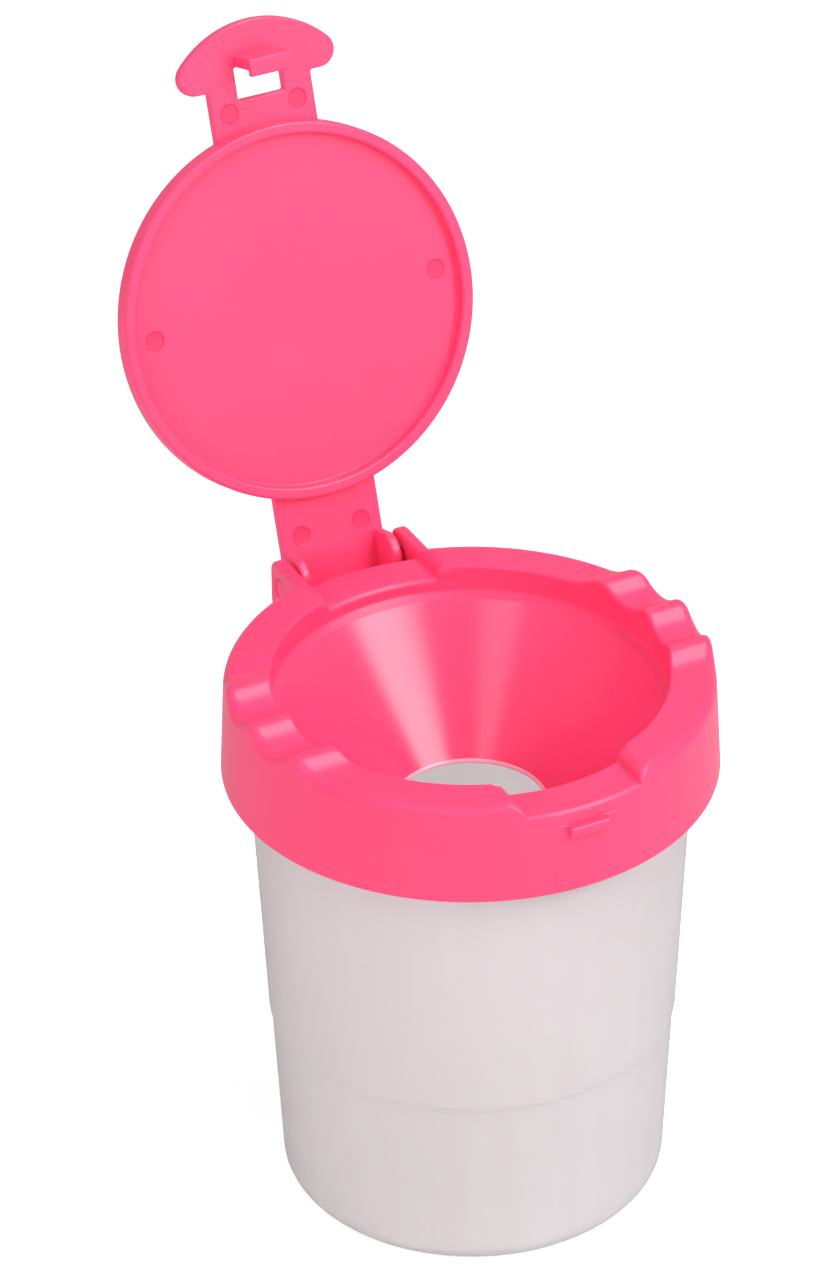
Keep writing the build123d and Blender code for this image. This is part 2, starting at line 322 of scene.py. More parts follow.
notch_floor = cup_height + rim_wall
rim_top = notch_floor + notch_depth
rim_underside = rim_top - rim_wall
hem = rim_top - collar_height
ledge = rim_top - ledge_depth
ledge_back = ledge + ledge_rise
funnel_end = ledge - funnel_depth
ridge_top = rim_top + ridge_height
notch_half = strap_width / 2 + notch_gap
collar_radius = cup_mouth_radius + lip_reach + skirt_clearance + collar_wall
plug_radius = cup_mouth_radius - cup_wall - plug_clearance
plug_inside = plug_radius - plug_wall
opening_radius = plug_inside - pocket_width - funnel_wall
ledge_radius = opening_radius - ledge_width


def collar_outside(height):
    """Outer radius of the collar at a height."""
    return collar_radius - collar_draft * (height - hem) / collar_height


def opening_wall(height):
    """Radius of the short wall between the rim and the ledge."""
    return opening_radius - opening_draft * (rim_top - height) / (rim_top - ledge_back)


def rounded(corners, steps=7, closed=False):
    """Points of an outline whose (a, b, round) corners are filleted."""
    points = []
    for i, (a, b, rounding) in enumerate(corners):
        here = np.array((a, b), float)
        if not rounding or (not closed and i in (0, len(corners) - 1)):
            points.append(here)
            continue
        back = np.array(corners[i - 1][:2]) - here
        forth = np.array(corners[(i + 1) % len(corners)][:2]) - here
        back, forth = back / np.linalg.norm(back), forth / np.linalg.norm(forth)
        half = math.acos(np.clip(back @ forth, -1, 1)) / 2
        bisector = (back + forth) / np.linalg.norm(back + forth)
        centre = here + bisector * rounding / math.sin(half)
        start = here + back * rounding / math.tan(half) - centre
        end = here + forth * rounding / math.tan(half) - centre
        swing = math.pi - 2 * half
        for k in range(steps + 1):
            t = k / steps
            points.append(
                centre + (start * math.sin((1 - t) * swing) + end * math.sin(t * swing)) / math.sin(swing)
            )
    return np.array(points)


def divided(points, longest, counts=None):
    """The same outline with its long runs cut into equal parts, and how many parts each run has."""
    if counts is None:
        runs = np.linalg.norm(np.diff(points, axis=0), axis=1)
        counts = [max(1, math.ceil(run / longest)) for run in runs]
    cut = [
        points[i] + (points[i + 1] - points[i]) * k / count
        for i, count in enumerate(counts)
        for k in range(count)
    ]
    return np.array(cut + [points[-1]]), counts


def mitre(corner, before, after, wall):
    """Corner of a wall's far side, where its near side turns at corner."""
    corner, before, after = (Vector(p[:2]) for p in (corner, before, after))
    first, second = (corner - before).normalized(), (after - corner).normalized()
    first, second = Vector((-first.y, first.x)), Vector((-second.y, second.x))
    return tuple(corner + (first + second) * (wall / (1 + first.dot(second))))


def below_rim(underside):
    """Corners of the section from the opening's wall round the funnel and the plug ring to the skirt."""
    rim_edge = (opening_radius, rim_top)
    corner = (opening_wall(ledge_back), ledge_back)
    crease = (ledge_radius, ledge)
    hole_edge = (hole_radius, funnel_end)
    hole_end = (hole_radius, funnel_end - hole_lip)
    slope = funnel_depth / (ledge_radius - hole_radius)
    far_side = mitre(hole_edge, crease, hole_end, funnel_wall)
    pocket = opening_wall(rim_underside) + funnel_wall
    skirt_inside = collar_outside(rim_underside) - collar_wall
    return [
        (opening_wall(cup_height), cup_height, 0),
        (*corner, ledge_round),
        (*crease, crease_round),
        (*hole_edge, hole_round),
        (*hole_end, hole_end_round),
        (far_side[0] + (hole_end[1] - far_side[1]) / slope, hole_end[1], funnel_end_round),
        (*mitre(crease, corner, hole_edge, funnel_wall), 0),
        (*mitre(corner, rim_edge, crease, funnel_wall), 0),
        (pocket, underside, 0),
        (plug_inside, underside, 0),
        (plug_inside, cup_height - plug_depth, plug_round),
        (plug_radius, cup_height - plug_depth, plug_round),
        (plug_radius, cup_height, 0),
        (cup_mouth_radius, cup_height, 0),
        (cup_mouth_radius, underside + underside_step, 0),
        (skirt_inside, underside + underside_step, 0),
        (collar_radius - collar_wall, hem, hem_inner_round),
        (collar_radius, hem, collar_hem_round),
        (collar_outside(cup_height), cup_height, 0),
    ]


def over_rim(top):
    """Outline of the rim from its outside to the opening's wall, where its top stands at a height."""
    full = max(top, rim_top)
    outer_round = rim_round + (ridge_end_round - rim_round) * (full - rim_top) / ridge_height
    base = rounded(
        [
            (collar_outside(cup_height), cup_height, 0),
            (collar_outside(full), full, outer_round),
            (opening_wall(full), full, opening_round),
            (opening_wall(cup_height), cup_height, 0),
        ],
        steps=16,
    )
    if top < rim_top - 1e-6:
        # The notch cuts the rim's own section off at its height, and leaves two small round edges.
        low = base[:, 1] < top
        first, last = np.argmin(low), len(low) - 1 - np.argmin(low[::-1])

        def crossing(a, b):
            return a + (b - a) * (top - a[1]) / (b[1] - a[1])

        outer = crossing(base[first - 1], base[first])
        inner = crossing(base[last + 1], base[last])
        left, right = np.vstack([base[:first], outer]), np.vstack([inner, base[last + 1 :]])
        base = np.vstack([soften(left, inner)[:-1], soften(right[::-1], outer)[::-1][1:]])
    return base


def soften(arm, towards):
    """An outline's arm whose last corner turns towards a point with a small round edge."""
    corner = arm[-1]
    steps = np.linalg.norm(np.diff(arm, axis=0), axis=1)
    left = np.cumsum(steps[::-1])[::-1]
    kept = arm[:-1][left > notch_edge]
    nearest = arm[len(kept)] if len(kept) < len(arm) else corner
    back = kept[-1] + (nearest - kept[-1]) * (left[len(kept) - 1] - notch_edge) / steps[len(kept) - 1]
    out = corner + (towards - corner) / np.linalg.norm(towards - corner) * notch_edge
    curve = [(1 - t) ** 2 * back + 2 * t * (1 - t) * corner + t**2 * out for t in np.linspace(0, 1, 8)]
    return np.vstack([kept, curve, [towards]])


def resampled(points, count, bend_share=0.45):
    """An outline with a fixed number of points, which lie closer together where it bends."""
    runs = np.diff(points, axis=0)
    lengths = np.linalg.norm(runs, axis=1)
    keep = lengths > 1e-7
    points = np.vstack([points[:-1][keep], points[-1:]])
    runs, lengths = runs[keep], lengths[keep]
    headings = np.unwrap(np.arctan2(runs[:, 1], runs[:, 0]))
    bends = np.abs(np.diff(headings))
    turning_at = np.zeros(len(lengths))
    turning_at[:-1] += bends / 2
    turning_at[1:] += bends / 2
    weights = lengths / lengths.sum() + bend_share * turning_at / math.pi * 2
    along = np.concatenate([[0], np.cumsum(weights)])
    wanted = np.linspace(0, along[-1], count)
    return np.stack([np.interp(wanted, along, points[:, 0]), np.interp(wanted, along, points[:, 1])], 1)


def ridge_line(y):
    """Height of the brush rests over the rim at a distance along it."""
    half = ridge_pitch / 2
    radii = (half**2 + ridge_height**2) / (2 * ridge_height)
    hollow = radii - ridge_crest_radius
    bend = hollow * math.sin(math.acos(1 - ridge_height / radii))
    if abs(y) >= ridge_count * half:
        return rim_top
    valley = half - abs((y + ridge_count * half) % ridge_pitch - half)
    if valley <= bend:
        return rim_top + hollow - math.sqrt(hollow**2 - valley**2)
    return ridge_top - ridge_crest_radius + math.sqrt(ridge_crest_radius**2 - (half - valley) ** 2)


def ring_lines():
    """Lines across the rim, all the way round, each as (top height, notched, angle at a radius)."""
    reach_x = notch_half + 2.4 * notch_shoulder_round
    reach_y = ridge_count * ridge_pitch / 2 + ridge_margin
    notch, _ = divided(
        rounded(
            [
                (-reach_x, rim_top, 0),
                (-notch_half - notch_draft, rim_top, notch_shoulder_round),
                (-notch_half, notch_floor, notch_corner_round),
                (notch_half, notch_floor, notch_corner_round),
                (notch_half + notch_draft, rim_top, notch_shoulder_round),
                (reach_x, rim_top, 0),
            ],
            steps=9,
        ),
        longest=notch_run,
    )
    rests = np.linspace(-reach_y, reach_y, 81)
    between = np.linspace(0, 1, 32)[1:-1]

    def front(x):
        return lambda r: -np.arccos(x / r)

    def right(y):
        return lambda r: np.arcsin(y / r)

    def back(x):
        return lambda r: np.arccos(x / r)

    def left(y):
        return lambda r: math.pi - np.arcsin(y / r)

    def blend(one, other, share, turn=0.0):
        return lambda r: one(r) * (1 - share) + (other(r) + turn) * share

    lines = [(z, abs(x) < notch_half + rim_wall, front(x)) for x, z in notch]
    lines += [(rim_top, False, blend(front(reach_x), right(-reach_y), s)) for s in between]
    lines += [(ridge_line(y), False, right(y)) for y in rests]
    lines += [(rim_top, False, blend(right(reach_y), back(reach_x), s)) for s in between]
    lines += [(z, abs(x) < notch_half + rim_wall, back(x)) for x, z in notch[::-1]]
    lines += [(rim_top, False, blend(back(-reach_x), left(reach_y), s)) for s in between]
    lines += [(ridge_line(y), False, left(y)) for y in rests[::-1]]
    lines += [(rim_top, False, blend(left(-reach_y), front(-reach_x), s, 2 * math.pi)) for s in between]
    return lines


def solid(name, points, faces, material):
    """Smooth-shaded object in one material, from points in millimetres and faces."""
    mesh = bpy.data.meshes.new(name)
    mesh.from_pydata([(x * mm, y * mm, z * mm) for x, y, z in points], [], faces)
    mesh.materials.append(material)
    mesh.shade_smooth()
    piece = bpy.data.objects.new(name, mesh)
    bpy.context.scene.collection.objects.link(piece)
    return piece


def skin(name, rows, material):
    """Closed mesh from a grid of points, in millimetres, that joins up both ways."""
    rows = np.asarray(rows)
    across, along = rows.shape[:2]
    index = np.arange(across * along).reshape(across, along)
    next_row, next_point = np.roll(index, -1, 0), np.roll(index, -1, 1)
    corner = np.roll(next_row, -1, 1)
    faces = np.stack([index, next_row, corner, next_point], -1).reshape(-1, 4)
    return solid(name, rows.reshape(-1, 3).tolist(), faces.tolist(), material)


cloud_size = 15
pink_grain = 0.7
pink_grain_depth = 0.05
pink_scatter = 1.2
lip_glow_width = 0.3
polish_overlap = 0.5
flow_wave = 80
flow_depth = 0.1


def pink_plastic(name, dark, light, sheen, polished, flow_from=None):
    """Pink polypropylene between two colours, with one roughness outside and one in the funnel.

    flow_from is where the melt came in, if its faint rings show on the piece.
    """
    material = bpy.data.materials.new(name)
    material.use_nodes = True
    tree = material.node_tree
    tree.nodes.clear()
    place = add(tree, "ShaderNodeTexCoord").outputs["Object"]
    # The pigment is not quite even: it lies in soft clouds.
    clouds = add(
        tree, "ShaderNodeTexNoise", {"Vector": place, "Scale": 1 / (cloud_size * mm), "Detail": 3.0}
    )
    shade = add(
        tree,
        "ShaderNodeMix",
        {"Factor": clouds.outputs[0], "A": linear(dark), "B": linear(light)},
        data_type="RGBA",
    )
    # The mould's core is polished below the ledge, so that paint runs off the funnel.
    sides = add(tree, "ShaderNodeSeparateXYZ", {"Vector": place})
    flat = add(tree, "ShaderNodeCombineXYZ", {"X": sides.outputs["X"], "Y": sides.outputs["Y"]})
    radius = add(tree, "ShaderNodeVectorMath", {0: flat.outputs[0]}, operation="LENGTH").outputs["Value"]
    low = add(tree, "ShaderNodeMath", {0: sides.outputs["Z"], 1: ledge * mm}, operation="LESS_THAN")
    reach = (ledge_radius + polish_overlap) * mm
    inner = add(tree, "ShaderNodeMath", {0: radius, 1: reach}, operation="LESS_THAN")
    funnel = add(tree, "ShaderNodeMath", {0: low.outputs[0], 1: inner.outputs[0]}, operation="MULTIPLY")
    gloss = add(
        tree, "ShaderNodeMapRange", {"Value": funnel.outputs[0], "To Min": sheen, "To Max": polished}
    )
    # The hole's thin lip is painted a lighter pink: a painted glow that stands for light from the white cup
    # coming through it.
    painted_glow_reach = (hole_radius + lip_glow_width) * mm
    lip = add(tree, "ShaderNodeMath", {0: radius, 1: painted_glow_reach}, operation="LESS_THAN")
    thin = add(tree, "ShaderNodeMath", {0: lip.outputs[0], 1: funnel.outputs[0]}, operation="MULTIPLY")
    shade = add(
        tree,
        "ShaderNodeMix",
        {"Factor": thin.outputs[0], "A": shade.outputs["Result"], "B": linear("#FFB4C8")},
        data_type="RGBA",
    )
    grain = add(tree, "ShaderNodeTexNoise", {"Vector": place, "Scale": 1 / (pink_grain * mm), "Detail": 5.0})
    relief = add(
        tree,
        "ShaderNodeBump",
        {"Height": grain.outputs[0], "Strength": 0.14, "Distance": pink_grain_depth * mm},
    )
    if flow_from:
        # Each ring is a place where the melt paused: uneven, and there only in patches.
        centred = add(tree, "ShaderNodeMapping", {"Vector": place, "Location": -Vector(flow_from)})
        rings = add(
            tree,
            "ShaderNodeTexWave",
            {"Vector": centred.outputs[0], "Scale": 1 / (flow_wave * mm), "Distortion": 1.2, "Detail": 1.0},
            wave_type="RINGS",
            rings_direction="SPHERICAL",
        )
        thin = add(tree, "ShaderNodeMath", {0: rings.outputs["Fac"], 1: 6.0}, operation="POWER")
        patches = add(
            tree, "ShaderNodeMapRange", {"Value": clouds.outputs[0], "From Min": 0.5, "From Max": 0.7}
        )
        marks = add(
            tree, "ShaderNodeMath", {0: thin.outputs[0], 1: patches.outputs[0]}, operation="MULTIPLY"
        )
        relief = add(
            tree,
            "ShaderNodeBump",
            {
                "Height": marks.outputs[0],
                "Strength": 0.7,
                "Distance": flow_depth * mm,
                "Normal": relief.outputs[0],
            },
        )
    plastic = add(
        tree,
        "ShaderNodeBsdfPrincipled",
        {
            "Base Color": shade.outputs["Result"],
            "Roughness": gloss.outputs[0],
            "IOR": 1.49,
            "Subsurface Weight": 0.25,
            "Subsurface Radius": (1.0, 0.3, 0.4),
            "Subsurface Scale": pink_scatter * mm,
            "Normal": relief.outputs[0],
        },
    )
    add(tree, "ShaderNodeOutputMaterial", {"Surface": plastic.outputs[0]})
    return material


# Pink polypropylene, moulded: semi-gloss with a fine mould texture, and light spreads a little in it.
# Light that bounces between two pink faces comes back redder, so the base stays a clean pink.
pink = pink_plastic("pink_polypropylene", "#FA4375", "#FC4B7D", 0.3, 0.22)
_, run_counts = divided(rounded(below_rim(rim_underside)), wall_run)
sections = {}
for notched in (False, True):
    outline = rounded(below_rim(cup_height if notched else rim_underside))
    sections[notched] = divided(outline, wall_run, run_counts)[0][1:-1]
rows = []
for top, notched, angle in ring_lines():
    section = np.vstack([resampled(over_rim(top), 52), sections[notched]])
    radius, height = section[:, 0], section[:, 1]
    turn = angle(np.clip(radius, opening_radius, collar_outside(rim_top)))
    rows.append(np.stack([radius * np.cos(turn), radius * np.sin(turn), height], 1))
collar = skin("collar_and_funnel", rows, pink)
fit(collar, "lid")
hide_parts("collar_lid")

# Hinge ears and catch
# Two plates carry the back notch's walls backwards and hold the pins, and a small lug on the front
# catches the hook. They belong to the collar's moulding, so they run into its wall.
hinge_clearance = 4.2
hinge_drop = 5.7
pin_radius = 1.7
pin_clearance = 0.05
pin_recess = 0.2
ear_thickness = 2.4
ear_set_down = 1.0
ear_back = 3.7
ear_below = 4.8
ear_slope = 6.0
ear_round = 2.4
ear_root = 2.5
ear_edge = 0.6
ear_stand_off = 0.08
ear_foot_rise = 0.5
ear_root_rise = 1.5
lug_width = 7.3
lug_height = 1.9
lug_reach = 1.1
lug_drop = 3.8
lug_edge = 0.35
hinge_reach = collar_radius + hinge_clearance
hinge_height = rim_top - hinge_drop
lug_top = rim_top - notch_depth - lug_drop + lug_height / 2
lug_bottom = lug_top - lug_height
lug_face = collar_outside(lug_bottom) + lug_reach


def inset(outline, distance):
    """A closed outline moved sideways into its material, which lies on its left."""
    runs = np.roll(outline, -1, 0) - outline
    runs = runs / np.linalg.norm(runs, axis=1)[:, None]
    out = np.stack([-runs[:, 1], runs[:, 0]], 1)
    before = np.roll(out, 1, 0)
    return outline + (out + before) / (1 + (out * before).sum(1))[:, None] * distance


def plate(name, outlines, low, high, edge, material, steps=5):
    """Flat plate with rounded edges between two heights, from one outline and any holes in it."""
    quarter = np.linspace(0, math.pi / 2, steps + 1)
    levels = [(edge * (1 - math.sin(a)), low + edge * (1 - math.cos(a))) for a in quarter]
    levels += [(edge * (1 - math.cos(a)), high - edge * (1 - math.sin(a))) for a in quarter]
    points, faces = [], []
    first, last = [], []
    for outline in outlines:
        rings = []
        for move, height in levels:
            ring = inset(outline, move) if move > 1e-9 else outline
            rings.append(range(len(points), len(points) + len(ring)))
            points += [(a, b, height) for a, b in ring]
        for lower, upper in zip(rings, rings[1:]):
            for k in range(len(lower)):
                n = (k + 1) % len(lower)
                faces.append((lower[k], lower[n], upper[n], upper[k]))
        first.append(list(rings[0]))
        last.append(list(rings[-1]))
    for loops, flip in ((first, True), (last, False)):
        flat = [[Vector((*points[i][:2], 0)) for i in loop] for loop in loops]
        order = [i for loop in loops for i in loop]
        for triangle in tessellate_polygon(flat):
            a, b, c = (order[i] for i in triangle)
            (ax, ay, _), (bx, by, _), (cx, cy, _) = points[a], points[b], points[c]
            upward = (bx - ax) * (cy - ay) - (by - ay) * (cx - ax) > 0
            faces.append((a, b, c) if upward != flip else (c, b, a))
    return solid(name, points, faces, material)


# A plate drawn in (y, z) stands across X.
on_edge = Matrix(((0, 0, 1, 0), (1, 0, 0, 0), (0, 1, 0, 0), (0, 0, 0, 1)))


def circle(centre, radius, steps, clockwise=False):
    """Closed round outline."""
    angles = np.linspace(0, 2 * math.pi, steps, endpoint=False) * (-1 if clockwise else 1)
    return np.stack([centre[0] + radius * np.cos(angles), centre[1] + radius * np.sin(angles)], 1)


ear_top = rim_top - ear_set_down
ear_foot = hinge_height - ear_below
ear_end = hinge_reach + ear_back
ear_start = opening_radius + ear_root
ear_outline = rounded(
    [
        (ear_start, ear_foot - ear_slope + ear_root_rise, 0),
        (collar_radius - collar_wall / 2, ear_foot - ear_slope + ear_foot_rise, 0),
        (ear_end, ear_foot, ear_round),
        (ear_end, ear_top, ear_round),
        (ear_start, ear_top, 0),
    ],
    closed=True,
)
pin_hole = circle((hinge_reach, hinge_height), pin_radius + pin_clearance, 64, clockwise=True)
for side, name in ((-1, "left"), (1, "right")):
    near, far = side * (notch_half + ear_stand_off), side * (notch_half + ear_thickness)
    ear = plate(f"hinge_ear_{name}", [ear_outline, pin_hole], min(near, far), max(near, far), ear_edge, pink)
    ear.data.transform(on_edge)
    fit(ear, "lid")

lug_root = collar_outside(lug_top) - collar_wall / 2
lug_outline = rounded(
    [
        (-lug_face, lug_bottom, lug_edge),
        (-lug_root, lug_bottom, 0),
        (-lug_root, lug_top, 0),
        (-lug_face, lug_top, lug_edge),
    ],
    steps=4,
    closed=True,
)
lug = plate("catch_lug", [lug_outline], -lug_width / 2, lug_width / 2, lug_edge * 0.8, pink)
lug.data.transform(on_edge)
fit(lug, "lid")

# The mould's slide that forms the lug leaves a fine line on each side of it, and the mould's halves a
# short one below.
line_height = 0.16
line_sink = 0.1
line_depth = 0.3
line_lap_left = 0.4
line_lap_right = 1.2
slide_line_z = 94.35
slide_line_reach = 6.2
part_line_x = -6.0
part_line_start = 82.2
part_line_end = 86.9


def fine_line(name, ends):
    """Low ridge of triangular section on the collar's wall between two (x, z) places."""
    steps = 12
    (x0, z0), (x1, z1) = ends
    wide = Vector((z1 - z0, x0 - x1)).normalized() * line_height
    rows = []
    for i in range(steps + 1):
        x, z = x0 + (x1 - x0) * i / steps, z0 + (z1 - z0) * i / steps
        fade = line_height * min(1, 4 * i / steps, 4 * (steps - i) / steps)
        row = []
        for side, rise in ((-1, -line_sink), (0, fade), (1, -line_sink), (0, -line_depth)):
            px, pz = x + wide.x * side, z + wide.y * side
            row.append((px, -math.sqrt(collar_outside(pz) ** 2 - px**2) - rise, pz))
        rows.append(row)
    points = [point for row in rows for point in row]
    faces = [(3, 2, 1, 0), tuple(4 * steps + k for k in (0, 1, 2, 3))]
    for i in range(steps):
        for k in range(4):
            a, b = 4 * i + k, 4 * i + (k + 1) % 4
            faces.append((a, b, b + 4, a + 4))
    return solid(name, points, faces, pink)


left_end = -lug_width / 2 + line_lap_left
right_end = lug_width / 2 - line_lap_right
for name, ends in (
    ("slide_line_left", ((-slide_line_reach, slide_line_z), (left_end, slide_line_z))),
    ("slide_line_right", ((right_end, slide_line_z), (slide_line_reach, slide_line_z))),
    ("part_line", ((part_line_x, part_line_start), (part_line_x, part_line_end))),
):
    fit(fine_line(name, ends), "lid")

# Cover
# The cover is one pink moulding: a disc with a bead round its underside, a strap through it from the
# hinge to a half-moon grip, and the latch. It is made closed here and then swung open about the hinge.
open_angle = 107.6
strap_thickness = 1.8
strap_tail = 3.4
strap_edge = 0.36
strap_corner_round = 0.45
cover_rest_gap = 0.1
cover_side_gap = 0.5
disc_forward = 0.35
disc_set_down = 0.5
disc_edge_round = 0.5
disc_recess = 1.9
bead_drop = 2.4
bead_width = 2.1
bead_round = 0.5
recess_corner_round = 0.3
strap_underside = notch_floor + cover_rest_gap
strap_top = strap_underside + strap_thickness
disc_top = strap_top - disc_set_down
bead_bottom = strap_underside - bead_drop
recess_height = bead_bottom + disc_recess
recess_radius = opening_wall(bead_bottom) - cover_side_gap - bead_width
hinge = Vector((0, hinge_reach, hinge_height)) * mm
swung = Matrix.Rotation(math.radians(-open_angle), 4, "X")
opened = Matrix.Translation(hinge) @ swung @ Matrix.Translation(-hinge)

# The disc is filled from its middle, and the melt's front left faint rings in the recess.
disc_middle = opened @ (Vector((0, -disc_forward, recess_height)) * mm)
flowed = pink_plastic("pink_polypropylene_flow_marks", "#FA4375", "#FC4B7D", 0.3, 0.3, disc_middle)

disc = turned(
    "cover_disc",
    [
        (0, recess_height, 0),
        (recess_radius, recess_height, recess_corner_round),
        (recess_radius, bead_bottom, bead_round),
        (opening_wall(bead_bottom) - cover_side_gap, bead_bottom, bead_round),
        (opening_wall(disc_top) - cover_side_gap, disc_top, disc_edge_round),
        (0, disc_top, 0),
    ],
    flowed,
)
disc.data.transform(Matrix.Translation((0, -disc_forward * mm, 0)))

grip_radius = 19.2
grip_beyond = 7.66
grip_set_back = 3.3
grip_corner_round = 3.0
window_width = 8.6
window_length = 5.6
window_corner_round = 0.3
outline_run = 3.0
hook_throat = 1.14
window_end = lug_face + hook_throat
grip_start = window_end - grip_set_back
grip_centre = window_end + grip_beyond - grip_radius
corner_run = grip_radius - grip_corner_round
corner_y = -grip_start - grip_corner_round
corner_x = math.sqrt(corner_run**2 - (corner_y + grip_centre) ** 2)
meets = math.atan2(-(corner_y + grip_centre), corner_x)
left_round = np.linspace(math.pi / 2, math.pi + meets, 13)
moon = np.linspace(math.pi + meets, 2 * math.pi - meets, 61)[1:-1]
right_round = np.linspace(-meets, math.pi / 2, 13)
half_width = strap_width / 2
strap_outline = rounded(
    [(half_width, -grip_start, strap_corner_round)]
    + [(half_width, hinge_reach + strap_tail, strap_corner_round)]
    + [(-half_width, hinge_reach + strap_tail, strap_corner_round)]
    + [(-half_width, -grip_start, strap_corner_round)]
    + [
        (-corner_x + grip_corner_round * math.cos(a), corner_y + grip_corner_round * math.sin(a), 0)
        for a in left_round
    ]
    + [(grip_radius * math.cos(a), -grip_centre + grip_radius * math.sin(a), 0) for a in moon]
    + [
        (corner_x + grip_corner_round * math.cos(a), corner_y + grip_corner_round * math.sin(a), 0)
        for a in right_round
    ],
    closed=True,
)
strap_outline, _ = divided(np.vstack([strap_outline, strap_outline[:1]]), outline_run)
window = rounded(
    [
        (-window_width / 2, -window_end, window_corner_round),
        (-window_width / 2, -window_end + window_length, window_corner_round),
        (window_width / 2, -window_end + window_length, window_corner_round),
        (window_width / 2, -window_end, window_corner_round),
    ],
    steps=4,
    closed=True,
)
strap = plate("cover_strap", [strap_outline[:-1], window], strap_underside, strap_top, strap_edge, pink)

# Ejector pins push on the soft cover before it has set, and leave shallow round prints underneath.
mark_radius = 1.65
mark_depth = 0.2
mark_edge = 0.12
disc_mark_inset = 3.9
disc_mark_offset = 1.3
tab_mark_spacing = 12.8
tab_mark_set_back = 1.9
strap_mark_spacing = 11.5
strap_mark_set_back = 7.3
stamp_reach = 0.5
stamp_lap = 0.001
# The pins are polished steel, so their prints are smoother, and their colour is painted a little deeper as
# painted shade.
printed = pink_plastic("pink_polypropylene_pin_print", "#F03267", "#F2386C", 0.26, 0.26)


def print_marks(piece, spacing, y, face_height):
    """Cuts a pair of shallow round prints, with soft edges, into a face that looks down."""
    for side in (-1, 1):
        stamp = turned(
            f"{piece.name}_print",
            [
                (0, face_height - stamp_reach, 0),
                (mark_radius + mark_edge, face_height - stamp_reach, 0),
                (mark_radius + mark_edge, face_height - stamp_lap, 0),
                (mark_radius, face_height + mark_edge, mark_edge),
                (mark_radius - mark_edge / 2, face_height + mark_depth, mark_edge / 2),
                (0, face_height + mark_depth, 0),
            ],
            printed,
            steps_around=48,
            steps_in_round=4,
        )
        stamp.data.transform(Matrix.Translation((side * spacing / 2 * mm, y * mm, 0)))
        cut = piece.modifiers.new("Ejector print", "BOOLEAN")
        cut.operation, cut.solver, cut.object = "DIFFERENCE", "EXACT", stamp
        cut.material_mode = "TRANSFER"
        result = piece.evaluated_get(bpy.context.evaluated_depsgraph_get())
        marked = bpy.data.meshes.new_from_object(result)
        piece.modifiers.clear()
        piece.data = marked
        bpy.data.objects.remove(stamp)


print_marks(disc, 2 * (recess_radius - disc_mark_inset), -disc_mark_offset, recess_height)
print_marks(strap, tab_mark_spacing, -(window_end - window_length - tab_mark_set_back), strap_underside)
print_marks(strap, strap_mark_spacing, hinge_reach - strap_mark_set_back, strap_underside)
for piece in (disc, strap):
    piece.data.transform(opened)
    fit(piece, "cover")
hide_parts("hinged_cover")

# Latch hook
# A small plate hangs from the window's outer edge and turns in at its end, to spring under the lug.
hook_width = 7.8
hook_wall = 2.0
hook_drop = 6.2
hook_edge = 0.25
lip_thickness = 1.1
lip_gap = 0.15
hook_stand_off = 0.02
hook_bottom = strap_underside - hook_drop
lip_end = lug_face + lip_gap
hook_root = strap_underside + strap_thickness / 2
hook_inner = window_end + hook_stand_off
hook_outline = rounded(
    [
        (-hook_inner - hook_wall, hook_root, 0),
        (-hook_inner - hook_wall, hook_bottom, hook_edge),
        (-lip_end, hook_bottom, hook_edge),
        (-lip_end, hook_bottom + lip_thickness, hook_edge),
        (-hook_inner, hook_bottom + lip_thickness, hook_edge),
        (-hook_inner, hook_root, 0),
    ],
    steps=4,
    closed=True,
)
hook = plate("latch_hook", [hook_outline], -hook_width / 2, hook_width / 2, hook_edge * 0.8, pink)
hook.data.transform(opened @ on_edge)
fit(hook, "cover")

# Hinge cheeks
# Two lobes under the strap's end carry the pins that turn in the ears, and a toe on each meets the
# collar's back wall when the cover is open.
cheek_thickness = 1.8
cheek_radius = 3.6
cheek_forward = 1.3
cheek_above = 0.4
cheek_edge = 0.5
toe_height = 2.4
toe_below = 0.3
toe_gap = 0.3
toe_edge = 0.3
toe_inset = 0.05
lobe_overlap = 0.4
pin_root = 0.4
lobe_y = hinge_reach - cheek_forward
lobe_z = hinge_height + cheek_above
lobe_top = strap_underside + lobe_overlap
inside = strap_width / 2 - cheek_thickness
wall_y = math.sqrt(collar_outside(hinge_height) ** 2 - inside**2)
toe_reach = hinge_reach - wall_y - toe_gap
lobe_turn = np.linspace(math.pi, 2 * math.pi, 33)
lobe_outline = np.vstack(
    [
        [(lobe_y + cheek_radius, lobe_top), (lobe_y - cheek_radius, lobe_top)],
        np.stack([lobe_y + cheek_radius * np.cos(lobe_turn), lobe_z + cheek_radius * np.sin(lobe_turn)], 1),
    ]
)
toe_outline = rounded(
    [
        (-toe_reach, -toe_below - toe_height, toe_edge),
        (0, -toe_below - toe_height, 0),
        (0, -toe_below, 0),
        (-toe_reach, -toe_below, toe_edge),
    ],
    steps=4,
    closed=True,
)
swing = math.radians(open_angle)
turn_back = np.array(((math.cos(swing), -math.sin(swing)), (math.sin(swing), math.cos(swing))))
toe_outline = toe_outline @ turn_back.T + (hinge_reach, hinge_height)
pin_end = notch_half + ear_thickness - pin_recess
for side, name in ((-1, "left"), (1, "right")):
    parts = {
        "cheek": (lobe_outline, inside, half_width, cheek_edge),
        "toe": (toe_outline, inside + toe_inset, half_width - toe_inset, toe_edge * 0.8),
        "pin": (circle((hinge_reach, hinge_height), pin_radius, 48), inside + pin_root, pin_end, toe_edge),
    }
    for kind, (outline, near, far, edge) in parts.items():
        low, high = sorted((side * near, side * far))
        piece = plate(f"hinge_{kind}_{name}", [outline], low, high, edge, pink)
        piece.data.transform(opened @ on_edge)
        fit(piece, "cover")

